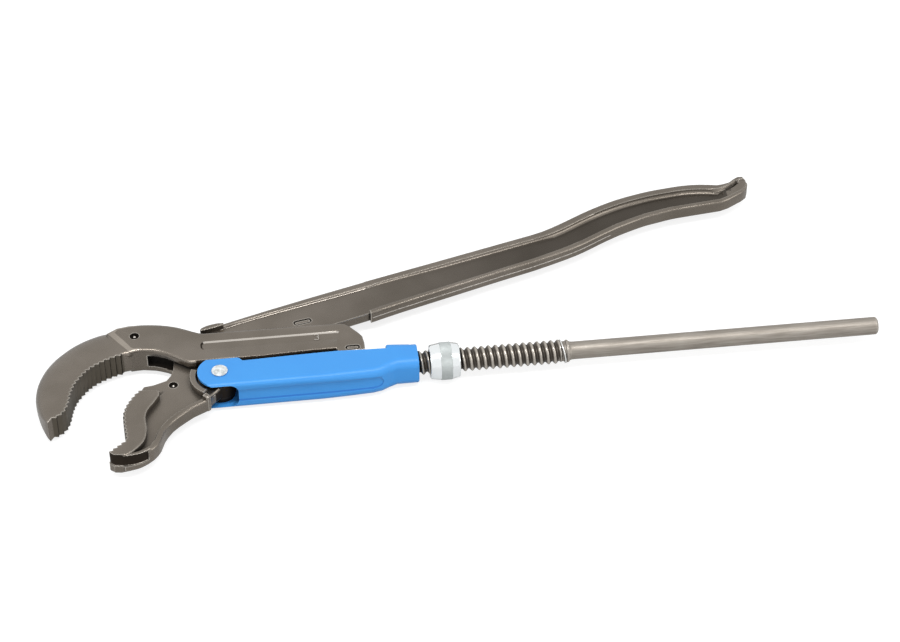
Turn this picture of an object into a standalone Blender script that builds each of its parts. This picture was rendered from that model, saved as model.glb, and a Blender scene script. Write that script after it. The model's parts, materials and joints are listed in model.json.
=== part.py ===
"""An angled pipe wrench with S-shaped jaws, lying flat, built as six solids on four joints.

Shapes are drawn in millimetres in the wrench's own frame and scaled to metres.
In that frame X runs along the rod axis to the rod's free end, with 0 at the pivot.
Y = 0 is the rod axis and Y grows towards the I-beam handle. Z = 0 is the middle plane.
"""

import math

import bpy
import numpy as np
from mathutils import Matrix, Vector

MM = 0.001

# Clearances.
FIT_GAP = 0.3
SLOT_SIDE_GAP = 1.5

# Pivot between the housing and the lower leg.
PIVOT_Y = -4.6
RIVET_R = 5.0
RIVET_HEAD_R = 6.2
RIVET_HEAD_TALL = 1.3
RIVET_RIM_TALL = 0.7

# Housing.
WALL = 2.0
HOUSING_HALF = 12.6
CHANNEL_HALF = HOUSING_HALF - WALL
LUG_R = 17.2
LUG_TOP_Y = 9.5
COLLAR_X0 = 130.6
COLLAR_X1 = 153.4
COLLAR_CORNER_R = 7.0
WINDOW_X1 = 13.2
WINDOW_CORNER_R = 6.5
PRESSED_DEPTH = 0.9

# Rod and thread.
ROD_R = 7.0
THREAD_CREST_R = 9.5
THREAD_ROOT_R = 7.85
THREAD_X0 = 118.0
THREAD_X1 = 264.8
RING_SEAT_X1 = 270.0
NECK_R = 8.9
NECK_X1 = 273.6
ROD_END_X = 519.0
ROD_END_CHAMFER = 1.2

# Adjusting nut.
NUT_X0 = 162.6
NUT_X1 = 185.8
NUT_END_R = 13.4
NUT_BAND_R = 14.8
NUT_BAND_X0 = 170.6
NUT_BAND_X1 = 179.5
NUT_CHAMFER = 0.8
NUT_BORE_R = THREAD_CREST_R + FIT_GAP

# Stop ring.
RING_X = 267.3
RING_WIRE_R = 0.65
RING_SLACK = 0.35
RING_R = THREAD_ROOT_R + RING_SLACK + RING_WIRE_R
RING_TILT = math.radians(8.0)

# Hook leg.
JAW_HALF = 10.3
BODY_HALF = 11.4
INSIDE_HALF = CHANNEL_HALF - FIT_GAP
BACK_CROWN = 20.0
BACK_EDGE_TALL = 10.0
TIP_EDGE_R = 2.4
LEDGE_EDGE_R = 4.6
RAMP_WIDE = 5.0
RAMP_TALL = 2.4
BODY_TOP_EDGE_R = 3.6
BODY_LOW_EDGE_R = 2.5
TAIL_LOW_EDGE_R = 3.0
TOOTH_EDGE_R = 0.3
UPPER_TOOTH_DEPTH = 1.9
TOOTH_STEEPNESS = 0.28
SLOT_X0 = -55.0
SLOT_FLOOR_X = 92.0
SLOT_FLOOR_Y = 14.0

# Lower leg.
PLATE_HALF = 3.9
SLOT_HALF = PLATE_HALF + SLOT_SIDE_GAP
PAD_HALF = 9.0
LOWER_TOOTH_DEPTH = 1.7
KNOB_HALF = 8.5
HUB_STEP_R = 18.0
HUB_STEP_HALF = 5.0
HUB_BOSS_R = 11.0
HUB_BASE_R = 12.0
RIDGE_R0 = 18.5
RIDGE_R1 = 23.5
RIDGE_HALF = 9.7
RIDGE_EDGE_R = 1.2
RIDGE_FROM = math.radians(157.5)
RIDGE_TO = math.radians(236.0)
JAW_FLANGE_HALF = 6.0
JAW_FLANGE_TALL = 5.0

# I-beam handle.
FLANGE_HALF = 5.6
TOP_BEAD_TALL = 7.3
LOW_BEAD_TALL = 4.8
BEAM_WEB_HALF = 2.8
GRIP_WEB_HALF = 1.6
FLANGE_EDGE_R = 2.1
BEAD_LIP_R = 0.9
WEB_FILLET = 3.4

TURN_STEPS = 40


def clear_scene():
    for obj in list(bpy.data.objects):
        bpy.data.objects.remove(obj)


def arc(cx, cy, radius, start, end, steps):
    """Points on a circle from one angle to another, both ends included."""
    angles = [start + (end - start) * i / steps for i in range(steps + 1)]
    return [(cx + radius * math.cos(a), cy + radius * math.sin(a)) for a in angles]


def smooth(points, steps):
    """A curve through the points, with this many pieces between neighbours."""
    whole = [points[0], *points, points[-1]]
    curve = []
    for i in range(len(points) - 1):
        a, b, c, d = (np.array(p, float) for p in whole[i : i + 4])
        for k in range(steps):
            t = k / steps
            along = 2 * b + (c - a) * t
            bend = (2 * a - 5 * b + 4 * c - d) * t**2 + (3 * b - a - 3 * c + d) * t**3
            curve.append(tuple((along + bend) / 2))
    curve.append(points[-1])
    return curve


def saw(points, depth, share):
    """Teeth on a line of points: after each one a corner set off to the right, at this share of the step."""
    toothed = []
    for (ax, ay), (bx, by) in zip(points, points[1:]):
        run = math.hypot(bx - ax, by - ay)
        nx, ny = (by - ay) / run, (ax - bx) / run
        toothed.append((ax, ay))
        toothed.append((ax + (bx - ax) * share + nx * depth, ay + (by - ay) * share + ny * depth))
    toothed.append(points[-1])
    return toothed


def new_object(name, vertices, faces):
    mesh = bpy.data.meshes.new(name)
    mesh.from_pydata([Vector(v) * MM for v in vertices], [], faces)
    mesh.validate()
    obj = bpy.data.objects.new(name, mesh)
    bpy.context.scene.collection.objects.link(obj)
    return obj


def lofted(name, rings):
    """A closed skin over rings of equally many points, with a flat face on the first and last."""
    count = len(rings[0])
    vertices = [p for ring in rings for p in ring]
    faces = [tuple(reversed(range(count)))]
    for level in range(len(rings) - 1):
        low = level * count
        for i in range(count):
            j = (i + 1) % count
            faces.append((low + i, low + j, low + count + j, low + count + i))
    faces.append(tuple(range(len(vertices) - count, len(vertices))))
    return new_object(name, vertices, faces)


def inset_outline(outline, amounts):
    """The outline moved inwards by an amount at each point, along the bisector there."""
    moved = []
    count = len(outline)
    for i, (x, y) in enumerate(outline):
        ax, ay = outline[i - 1]
        bx, by = outline[(i + 1) % count]
        before = Vector((x - ax, y - ay)).normalized()
        after = Vector((bx - x, by - y)).normalized()
        inward = Vector((-before.y - after.y, before.x + after.x))
        inward.normalize()
        stretch = max(0.55, inward.dot(Vector((-before.y, before.x))))
        step = inward * (amounts[i] / stretch)
        moved.append((x + step.x, y + step.y))
    return moved


def slab(name, outline, half, edges, steps, talls=None):
    """A plate of this outline, drawn anticlockwise, its edges rounded by a radius at each point.
    Where talls are given, an edge is rounded over that height and over its radius along the face."""
    if not isinstance(edges, list):
        edges = [edges] * len(outline)
    talls = talls or edges
    rings = []
    for k in range(steps + 1):
        turn = math.pi / 2 * k / steps
        ring = inset_outline(outline, [e * (1 - math.cos(turn)) for e in edges])
        heights = [half - e * (1 - math.sin(turn)) for e in talls]
        rings.append([(x, y, z) for (x, y), z in zip(ring, heights)])
    below = [[(x, y, -z) for x, y, z in ring] for ring in reversed(rings)]
    return lofted(name, below + rings)


def prism(name, outline, low, high):
    """A straight block of this outline, drawn anticlockwise, between two heights."""
    return lofted(name, [[(x, y, z) for x, y in outline] for z in (low, high)])


def prism_y(name, outline, low, high):
    """A block whose outline is drawn in X and Z, clockwise seen from above the XZ plane."""
    return lofted(name, [[(x, y, z) for x, z in outline] for y in (low, high)])


def turned(name, profile):
    """A body turned about the X axis from a profile of (x, radius), starting and ending on the axis."""
    inner = profile[1:-1]
    rings = []
    for x, radius in inner:
        around = arc(0, 0, radius, 0, -2 * math.pi, TURN_STEPS)[:-1]
        rings.append([(x, y, z) for y, z in around])
    body = lofted(name, rings[::-1])
    return body


def turned_ring(name, profile):
    """A ring turned about the X axis from a closed profile of (x, radius)."""
    count = len(profile)
    vertices = []
    for turn in range(TURN_STEPS):
        angle = 2 * math.pi * turn / TURN_STEPS
        vertices += [(x, r * math.cos(angle), r * math.sin(angle)) for x, r in profile]
    faces = []
    for turn in range(TURN_STEPS):
        here = turn * count
        there = (turn + 1) % TURN_STEPS * count
        for i in range(count):
            j = (i + 1) % count
            faces.append((here + i, there + i, there + j, here + j))
    return new_object(name, vertices, faces)


def cylinder_z(name, x, y, radius, low, high, steps=TURN_STEPS):
    return prism(name, arc(x, y, radius, 0, 2 * math.pi, steps)[:-1], low, high)


def face_out(obj):
    """Turns the faces round if the body is inside out."""
    obj.data.calc_loop_triangles()
    volume = 0.0
    for triangle in obj.data.loop_triangles:
        a, b, c = (obj.data.vertices[i].co for i in triangle.vertices)
        volume += a.dot(b.cross(c))
    if volume < 0:
        obj.data.flip_normals()
    return obj


def combined(base, tools, operation):
    """The base after one exact Boolean with each tool in turn. The tools are used up."""
    face_out(base)
    for tool in tools:
        face_out(tool)
        step = base.modifiers.new("step", "BOOLEAN")
        step.operation = operation
        step.object = tool
        step.solver = "EXACT"
        graph = bpy.context.evaluated_depsgraph_get()
        result = bpy.data.meshes.new_from_object(base.evaluated_get(graph))
        base.modifiers.clear()
        base.data = result
        bpy.data.objects.remove(tool)
    return base


def joined(base, *tools):
    return combined(base, tools, "UNION")


def cut(base, *tools):
    return combined(base, tools, "DIFFERENCE")


def upper_jaw():
    """The hooked jaw: round back, thin tip and a concave row of teeth."""
    back = [
        (-130.9, -43.2), (-133.2, -40.2), (-135.6, -35.4), (-138.4, -27.6), (-140.7, -15.6),
        (-141.1, -4.5), (-139.9, 5.8), (-136.6, 16.6), (-132.3, 26.0), (-126.4, 34.6),
        (-119.6, 42.0), (-111.6, 49.0), (-103.6, 54.0), (-94.2, 58.2), (-86.2, 60.2), (-78.0, 59.6),
    ]
    valleys = [
        (-128.2, -38.6), (-124.4, -36.8), (-120.9, -33.6), (-118.7, -29.7),
        (-117.4, -25.3), (-116.5, -20.9), (-115.9, -16.5), (-115.1, -12.3), (-113.9, -8.1),
        (-112.5, -3.9), (-110.6, 0.1), (-108.0, 4.1), (-105.2, 8.2), (-102.4, 11.8),
        (-99.2, 14.9), (-95.6, 17.7), (-91.8, 20.2), (-87.8, 22.5), (-83.5, 24.5),
        (-79.2, 26.4), (-74.8, 27.7),
    ]
    ledge = [(-73.4, 27.4), (-69.2, 26.8), (-66.2, 27.6), (-64.0, 31.0)]
    inside = [(-61.5, 36.0), (-68.0, 56.0)]
    inner = saw(valleys, UPPER_TOOTH_DEPTH, 1 - TOOTH_STEEPNESS)
    outer = smooth(back, 2)[::-1]
    outline = inner + ledge + inside + outer
    edges = [TOOTH_EDGE_R] * len(inner) + [LEDGE_EDGE_R * 0.6] + [LEDGE_EDGE_R] * 3 + [TOOTH_EDGE_R] * 2
    talls = list(edges)
    levels = [-41.0, -35.0, -28.0, -20.0, 0.0, 25.0]
    for _, y in outer:
        edges.append(float(np.interp(y, levels, [TIP_EDGE_R, 4.5, 6.5, 9.0, 15.0, BACK_CROWN])))
        talls.append(float(np.interp(y, levels, [TIP_EDGE_R, 4.5, 6.5, 8.0, 9.6, BACK_EDGE_TALL])))
    edges[-3:] = [TIP_EDGE_R * 0.8, TIP_EDGE_R * 0.5, TIP_EDGE_R * 0.3]
    talls[-3:] = edges[-3:]
    return slab("upper_jaw", outline, JAW_HALF, edges, 5, talls)


def fork_body():
    """The fork's cheeks, with a rounded top, a rounded lower edge and a ramp down to the hook."""
    low = [(-68.4, 28.0), (-64.6, 28.6), (-59.1, 28.9)]
    low += smooth([(-49.8, 27.1), (-40.3, 23.0), (-30.8, 16.1), (-23.6, 10.8)], 2)
    low += [(-20.6, 10.1), (-17.5, 10.3), (8.5, 10.2), (34.2, 10.2), (72.9, 11.9), (91.0, 12.0)]
    foot = [(92.2, 10.9), (92.2, 8.5), (113.5, 8.5)]
    end = [(113.5, 10.2), (113.5, 17.6), (112.7, 24.4), (110.9, 28.6), (103.8, 38.0), (100.8, 41.0)]
    top = [(96.6, 43.2), (88.8, 43.6), (49.7, 44.0), (23.0, 44.3), (-10.5, 44.3), (-13.2, 45.2)]
    hump = [(-18.6, 47.9), (-28.3, 53.3), (-38.2, 57.0), (-48.2, 59.2), (-58.5, 60.3), (-68.8, 60.3)]
    ramp = [(-78.2, 58.5), (-86.0, 52.6), (-77.0, 39.4)]
    hump_curve = smooth([top[-1], *hump], 2)[1:]
    outline = low + foot + end + top + hump_curve + ramp
    edges = [RAMP_WIDE * 0.8] + [BODY_LOW_EDGE_R] * (len(low) - 1) + [0.6, 0.8, 0.8]
    edges += [1.0] * 3 + [2.0] * 3 + [BODY_TOP_EDGE_R] * (len(top) + len(hump_curve))
    talls = edges + [BODY_TOP_EDGE_R] + [RAMP_TALL] * 2
    talls[0] = RAMP_TALL
    return slab("fork_body", outline, BODY_HALF, edges + [BODY_TOP_EDGE_R] + [RAMP_WIDE] * 2, 3, talls)


def tail_block():
    """The foot of the fork that runs between the walls of the housing."""
    outline = [(92.6, 20.0), (92.6, -9.6), (113.1, -9.6), (113.1, 20.0)]
    return slab("tail_block", outline, INSIDE_HALF, [0.4, TAIL_LOW_EDGE_R, TAIL_LOW_EDGE_R, 0.4], 3)


def rod():
    """Thread core at crest size, the seat of the stop ring, the neck and the plain handle."""
    inside_tail = THREAD_X0 - 10.0
    lead = THREAD_CREST_R - THREAD_ROOT_R
    profile = [
        (inside_tail, 0.0),
        (inside_tail, THREAD_ROOT_R),
        (THREAD_X0, THREAD_ROOT_R),
        (THREAD_X0 + lead, THREAD_CREST_R),
        (THREAD_X1 - lead / 2, THREAD_CREST_R),
        (THREAD_X1, THREAD_ROOT_R),
        (RING_SEAT_X1 - 0.3, THREAD_ROOT_R),
        (RING_SEAT_X1, NECK_R),
        (NECK_X1 - 1.2, ROD_R + 0.5),
        (NECK_X1, ROD_R),
        (ROD_END_X - ROD_END_CHAMFER, ROD_R),
        (ROD_END_X, ROD_R - ROD_END_CHAMFER),
        (ROD_END_X, 0.0),
    ]
    return turned("rod", profile)


def hook_leg():
    leg = joined(fork_body(), tail_block(), upper_jaw(), rod())
    past = BODY_HALF * 8
    slot = [
        (SLOT_X0, 0.0), (SLOT_FLOOR_X, 0.0), (SLOT_FLOOR_X, SLOT_FLOOR_Y),
        (SLOT_FLOOR_X + 40.0, SLOT_FLOOR_Y), (SLOT_FLOOR_X + 40.0, past), (SLOT_X0, past),
    ]
    cut(leg, prism("slot", slot, -SLOT_HALF, SLOT_HALF))
    leg.name = "hook_leg"
    return leg


def jaw_contour():
    """The lower edge of the lower jaw, from its nose to the knuckle beside the hub."""
    points = [
        (-86.8, -81.4), (-83.0, -85.2), (-75.5, -86.4), (-69.0, -85.6), (-62.3, -83.8), (-53.4, -77.8),
        (-47.8, -69.7), (-44.7, -60.3), (-38.1, -49.7), (-28.2, -40.6), (-16.8, -31.7),
    ]
    return smooth(points, 2)


def jaw_plate():
    """The thin plate of the lower leg: behind the teeth, round the hub and up through the slot."""
    lower = inset_outline(jaw_contour(), [1.0] * len(jaw_contour()))[2:-1]
    right = [
        (-9.4, -26.0), (-4.4, -21.4), (1.2, -15.6), (12.0, -5.4), (28.0, 14.0), (38.0, 26.5),
        (60.0, 39.5), (93.0, 49.4), (121.3, 58.8), (126.5, 61.0), (126.5, 97.4),
    ]
    under_bead = [(76.3, 83.0), (40.8, 71.3), (8.0, 58.4), (2.0, 56.6), (-7.0, 53.8), (-11.0, 51.6)]
    left = [
        (-12.4, 50.2), (-15.0, 45.6), (-28.0, 42.0), (-33.5, 33.0), (-35.8, 11.5), (-38.0, 4.3),
        (-41.2, -0.6), (-51.1, -4.5), (-58.8, -5.7), (-60.4, -9.0), (-61.8, -16.5),
    ]
    behind_teeth = [
        (-67.4, -25.0), (-71.4, -34.0), (-72.2, -44.0), (-71.4, -57.0), (-70.4, -66.0),
        (-72.4, -71.4), (-84.4, -80.6),
    ]
    return slab("jaw_plate", lower + right + under_bead + left + behind_teeth, PLATE_HALF, 0.7, 2)


def tooth_pad():
    """The thick pad behind the teeth of the lower jaw."""
    inner = smooth(
        [
            (-73.4, -84.4), (-68.2, -80.6), (-62.4, -74.8), (-58.7, -68.0), (-57.4, -57.0),
            (-58.1, -45.6), (-56.3, -37.4), (-51.3, -29.4), (-46.9, -21.8),
        ],
        2,
    )
    top = [(-46.8, -17.6), (-49.2, -15.0)]
    steep_side = [
        (-62.8, -15.0), (-65.8, -18.6), (-68.3, -22.4), (-70.5, -26.3), (-72.3, -30.0),
        (-73.8, -34.1), (-74.8, -38.4), (-75.1, -42.8), (-75.0, -47.2), (-74.8, -51.7),
        (-74.5, -55.9), (-74.0, -60.2), (-73.6, -64.3), (-73.9, -68.2),
    ]
    nose_side = [(-77.0, -71.1), (-80.1, -73.8), (-83.3, -76.5), (-86.8, -79.4)]
    teeth = saw(steep_side + nose_side, -LOWER_TOOTH_DEPTH, TOOTH_STEEPNESS)
    outline = inner + top + teeth + [(-86.6, -81.4), (-83.2, -84.6), (-78.4, -85.4)]
    edges = [1.2] * (len(inner) + len(top)) + [TOOTH_EDGE_R] * len(teeth) + [0.9, 1.4, 1.4]
    return slab("tooth_pad", outline, PAD_HALF, edges, 2)


def jaw_flange():
    """The rim along the lower edge of the jaw plate, wider towards the jaw's nose."""
    path = [(-0.6, -16.6), (-4.3, -20.6), (-8.0, -24.6), (-9.2, -28.4), (-12.0, -30.2)]
    path += jaw_contour()[::-1][1:-4]
    wider = [float(np.interp(x, [-76.0, -62.0, -48.0, -38.0], [2.0, 1.2, 0.4, 0.0])) for x, _ in path]
    halves = [JAW_FLANGE_HALF + more for more in wider]
    return swept_bead("jaw_flange", path, halves, [JAW_FLANGE_TALL] * len(path), WEB_FILLET * 0.5)


def hub_arc(name, inner_r, outer_r, half):
    """A raised arc round the lower left of the hub."""
    outer = arc(0, PIVOT_Y, outer_r, RIDGE_FROM, RIDGE_TO, 16)
    inner = arc(0, PIVOT_Y, inner_r, RIDGE_TO, RIDGE_FROM, 16)
    return slab(name, outer + inner, half, RIDGE_EDGE_R, 2)


def knob():
    """The rounded knob where the top bead of the handle ends above the fork."""
    crown = [(-12.8, 50.2), (-12.0, 52.9), (-8.6, 55.3), (-3.0, 57.0), (2.0, 57.8), (5.8, 57.0)]
    under = [(-11.9, 49.3), (-6.0, 50.6), (0.0, 52.4), (5.6, 54.6)]
    outline = smooth(crown, 2)[::-1] + under
    edges = [0.9] + [2.0] * 7 + [1.4, 0.9, 0.5] + [0.5, 0.6, 0.6, 0.8]
    return slab("knob", outline, KNOB_HALF, edges, 3)


def arc_corner(d, z, rd, rz, start, steps=3):
    """Points of a quarter turn about (d, z), from the start angle in quarters, with two radii."""
    points = []
    for k in range(steps + 1):
        angle = math.pi / 2 * (start + k / steps)
        points.append((d + rd * math.cos(angle), z + rz * math.sin(angle)))
    return points


def bead_half(hw, tall, web, fillet_d, lip):
    """Half a bead's section: (depth from its outer face, height off the middle plane)."""
    side = hw - lip
    edge = min(FLANGE_EDGE_R, tall * 0.45)
    rise = side - web
    turns = (0.0, 0.52, 1.05, math.pi / 2)
    top = [(edge - edge * math.cos(a), hw - edge + edge * math.sin(a)) for a in turns]
    lower = [(tall - lip + lip * math.sin(a), side + lip * math.cos(a)) for a in (0.0, 0.79, math.pi / 2)]
    fillet = []
    for a in (0.35, 0.8, 1.2, math.pi / 2):
        fillet.append((tall + fillet_d * (1 - math.cos(a)), side - rise * math.sin(a)))
    return top + lower + fillet


def beam_ring(top, bottom, top_bead, low_bead):
    """One section of the handle between its two outline points, as 3-D points."""
    start = Vector((*top, 0.0))
    down = Vector((*bottom, 0.0)) - start
    deep = down.length
    down.normalize()
    near = top_bead + [(deep - d, z) for d, z in reversed(low_bead)]
    whole = near + [(d, -z) for d, z in reversed(near)]
    return [tuple(start + down * d + Vector((0.0, 0.0, z))) for d, z in whole]


def handle_beam():
    """The I-beam handle with its hollow grip, from the step beside the fork to its rounded end."""
    tops = smooth(
        [
            (120.6, 97.4), (152.6, 106.9), (185.1, 116.6), (235.9, 132.1), (264.5, 140.6),
            (279.3, 146.8), (294.6, 155.1), (310.1, 164.0), (325.3, 171.6), (340.5, 177.9),
            (355.4, 182.5), (370.1, 186.1), (384.6, 188.4), (399.2, 190.1), (414.3, 189.8),
            (428.0, 187.4),
        ],
        2,
    )
    bottoms = smooth(
        [
            (122.4, 56.8), (146.9, 66.1), (180.7, 77.7), (231.7, 95.3), (260.5, 104.8),
            (289.9, 116.2), (305.0, 123.4), (319.9, 132.0), (335.4, 140.4), (350.3, 147.0),
            (361.4, 151.3), (372.8, 154.4), (383.8, 157.3), (394.9, 159.1), (410.2, 161.0),
            (426.8, 163.2),
        ],
        2,
    )
    rings = []
    for top, bottom in zip(tops, bottoms):
        middle = (top[0] + bottom[0]) / 2
        hollow = max(0.0, min(1.0, (middle - 266.0) / 22.0))
        start = max(0.0, min(1.0, (200.0 - middle) / 76.0))
        web = BEAM_WEB_HALF + (GRIP_WEB_HALF - BEAM_WEB_HALF) * hollow
        web += (PLATE_HALF - 0.1 - BEAM_WEB_HALF) * start
        upper = bead_half(FLANGE_HALF, TOP_BEAD_TALL, web, WEB_FILLET, BEAD_LIP_R)
        lower = bead_half(FLANGE_HALF, LOW_BEAD_TALL, web, WEB_FILLET, BEAD_LIP_R)
        rings.append(beam_ring(top, bottom, upper, lower))
    closing = [
        ((431.2, 187.7), (430.2, 164.5), 2.6, 0.9), ((434.6, 188.3), (434.6, 166.2), 4.3, 0.9),
        ((439.6, 190.0), (441.2, 170.4), 4.9, 0.8), ((443.6, 193.6), (447.2, 174.2), 4.9, 0.7),
        ((447.8, 196.2), (452.0, 178.4), 4.9, 0.6), ((451.6, 195.6), (454.2, 184.0), 4.5, 0.4),
        ((454.0, 192.6), (454.6, 187.6), 3.4, 0.2),
    ]
    for top, bottom, web, share in closing:
        wide = FLANGE_HALF if share > 0.35 else FLANGE_HALF * 0.72
        upper = bead_half(wide, TOP_BEAD_TALL * share, web, WEB_FILLET * share / 2, 0.4)
        lower = bead_half(wide, LOW_BEAD_TALL * share, web, WEB_FILLET * share / 2, 0.4)
        rings.append(beam_ring(top, bottom, upper, lower))
    return lofted("handle_beam", rings)


def swept_bead(name, path, halves, talls, fillet):
    """A rounded bead along a path, to the right of travel, with a fillet down to the thin plate."""
    rings = []
    for i, place in enumerate(path):
        bead = bead_half(halves[i], talls[i], PLATE_HALF - FIT_GAP, fillet, BEAD_LIP_R)
        before = Vector(path[max(0, i - 1)])
        after = Vector(path[min(len(path) - 1, i + 1)])
        along = (after - before).normalized()
        start = Vector((*place, 0.0))
        down = Vector((along.y, -along.x, 0.0))
        whole = bead + [(d, -z) for d, z in reversed(bead)]
        rings.append([tuple(start + down * d + Vector((0.0, 0.0, z))) for d, z in whole])
    return lofted(name, rings)


def top_bead():
    """The upper bead of the handle where it runs along the plate, from the knob to the I-beam."""
    path = smooth([(1.6, 58.0), (20.0, 64.5), (40.8, 71.7), (76.3, 83.3), (126.0, 98.9)], 2)
    halves = [FLANGE_HALF - 0.1] * len(path)
    talls = [float(np.interp(x, [20.0, 84.0, 110.0], [4.3, 6.6, TOP_BEAD_TALL])) for x, _ in path]
    return swept_bead("top_bead", path, halves, talls, WEB_FILLET * 0.6)


def lower_leg():
    hub_base = cylinder_z("hub_base", 0, PIVOT_Y, HUB_BASE_R, -JAW_FLANGE_HALF, JAW_FLANGE_HALF)
    hub_boss = cylinder_z("hub_boss", 0, PIVOT_Y, HUB_BOSS_R, -INSIDE_HALF, INSIDE_HALF)
    hub_step = hub_arc("hub_step", HUB_BOSS_R - 1.0, HUB_STEP_R, HUB_STEP_HALF)
    ridge = hub_arc("ridge", RIDGE_R0, RIDGE_R1, RIDGE_HALF)
    leg = joined(jaw_plate(), jaw_flange(), hub_base, hub_boss, hub_step, ridge, tooth_pad())
    joined(leg, handle_beam(), top_bead(), knob())
    past = BODY_HALF * 2
    cut(leg, cylinder_z("pivot_bore", 0, PIVOT_Y, RIVET_R + FIT_GAP, -past, past))
    leg.name = "lower_leg"
    return leg


def web_y(x):
    """The outer face of the housing's web."""
    xs = [-30.0, 13.0, 79.0, 105.0, 117.0, 123.0, 128.0, 134.0, 160.0]
    ys = [-20.7, -20.7, -20.6, -20.1, -19.5, -18.6, -16.8, -HOUSING_HALF, -HOUSING_HALF]
    return float(np.interp(x, xs, ys))


def bend_r(x):
    """The outer bend radius between the housing's web and its walls."""
    return float(np.interp(x, [13.0, 79.0, 117.0, 130.0], [3.5, 4.2, 6.0, COLLAR_CORNER_R]))


def channel_ring(x, low, high, half, low_r, high_r):
    """A rectangle with rounded corners across the housing at this X."""
    corners = [
        (low + low_r, -half + low_r, low_r, 2), (high - high_r, -half + high_r, high_r, 3),
        (high - high_r, half - high_r, high_r, 0), (low + low_r, half - low_r, low_r, 1),
    ]
    ring = []
    for y, z, radius, start in corners:
        ring += [(x, py, pz) for py, pz in arc_corner(y, z, radius, radius, start, 4)]
    return ring


def housing_side():
    """The side view of the housing's walls: round lug, flat, step and a nearly straight top edge."""
    rise = math.asin((LUG_TOP_Y - PIVOT_Y) / LUG_R)
    lug = arc(0, PIVOT_Y, LUG_R, math.pi - rise, math.radians(253.0), 18)
    below = [(lug[-1][0], -30.0), (COLLAR_X0 + 1.0, -30.0)]
    top = [(COLLAR_X0 + 1.0, 6.6), (127.0, 6.5), (113.0, 6.9), (92.0, 7.9), (55.0, 6.9), (20.5, 5.6)]
    step = [(18.3, 5.7), (17.0, 7.0), (15.8, 8.8), (14.2, LUG_TOP_Y)]
    return lug + below + top + step


def slide_housing():
    xs = [-20.0, -7.3, 13.0, 40.0, 79.0, 100.0, 117.0, 124.0, COLLAR_X0 + 1.0]
    walls = [channel_ring(x, web_y(x), 30.0, HOUSING_HALF, bend_r(x), 1.0) for x in xs]
    housing = lofted("housing", walls)
    side = face_out(prism("side", housing_side(), -20.0, 20.0))
    combined(housing, [side], "INTERSECT")

    collar_r = COLLAR_CORNER_R
    collar_xs = [129.6, COLLAR_X0, 136.0, 147.4, 148.4, COLLAR_X1 - 0.8, COLLAR_X1]
    shrink = [1.0, 0.0, 0.0, 0.0, 0.0, 0.0, 0.8]
    rise = [2.0, 2.0, 1.6, 0.4, 0.0, 0.0, 0.0]
    rings = []
    for x, less, more in zip(collar_xs, shrink, rise):
        low = web_y(x) + less
        half = HOUSING_HALF - less - 0.02
        high = HOUSING_HALF - less + more
        rings.append(channel_ring(x, low, high, half, collar_r - less, collar_r - less))
    joined(housing, lofted("collar", rings))

    inner_xs = [-25.0, -8.1, 13.0, 40.0, 79.0, 100.0, 117.0, 127.6]
    channel = [
        channel_ring(x, web_y(x) + WALL, 40.0, CHANNEL_HALF, max(0.6, bend_r(x) - WALL), 1.0)
        for x in inner_xs
    ]
    bore_r = THREAD_CREST_R + FIT_GAP * 1.5
    bore = turned("bore", [(120.0, 0.0), (120.0, bore_r), (170.0, bore_r), (170.0, 0.0)])
    far = (-30.0, CHANNEL_HALF)
    round_x = WINDOW_X1 - WINDOW_CORNER_R
    round_z = CHANNEL_HALF - WINDOW_CORNER_R
    window = [far, (-30.0, -CHANNEL_HALF)]
    window += arc(round_x, -round_z, WINDOW_CORNER_R, -math.pi / 2, 0.0, 8)
    window += arc(round_x, round_z, WINDOW_CORNER_R, 0.0, math.pi / 2, 8)
    pivot = cylinder_z("wall_bore", 0, PIVOT_Y, RIVET_R + FIT_GAP, -20.0, 20.0)
    cut(housing, lofted("channel", channel), bore, prism_y("window", window, -30.0, -10.0), pivot)
    cut(housing, pressed_groove())
    housing.name = "slide_housing"
    return housing


def pressed_groove():
    """The shallow long hollow pressed into the web's outer face, round at its right end."""
    middle, half, end = 0.5, 5.5, 125.0
    xs = [10.0, 30.0, 55.0, 79.0, 100.0, 112.0]
    xs += [end - half + half * math.sin(a) for a in (0.0, 0.5, 0.9, 1.2, 1.45)]
    rings = []
    for x in xs:
        over = max(0.0, x - (end - half))
        wide = math.sqrt(max(0.0, half**2 - over**2))
        deep = web_y(x) + PRESSED_DEPTH
        flat = max(0.2, wide - PRESSED_DEPTH)
        low = -30.0
        slope = wide + (web_y(x) - low)
        rings.append([
            (x, low, middle - slope), (x, low, middle + slope),
            (x, deep, middle + flat), (x, deep, middle - flat),
        ])
    return lofted("pressed_groove", rings)


def pivot_rivet():
    """A plain shank with two low domed heads outside the housing's walls."""
    under = HOUSING_HALF + FIT_GAP
    rim = under + RIVET_RIM_TALL
    top = under + RIVET_HEAD_TALL
    dome = [(RIVET_HEAD_R * 0.9, rim + 0.25), (RIVET_HEAD_R * 0.6, top - 0.12)]
    side = [(RIVET_R, under), (RIVET_HEAD_R, under), (RIVET_HEAD_R, rim)]
    profile = side + dome + [(RIVET_HEAD_R * 0.3, top)]
    rings = []
    for radius, z in [(r, -h) for r, h in reversed(profile)] + profile:
        around = arc(0, PIVOT_Y, radius, 0, 2 * math.pi, 32)[:-1]
        rings.append([(x, y, z) for x, y in around])
    return lofted("pivot_rivet", rings)


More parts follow.
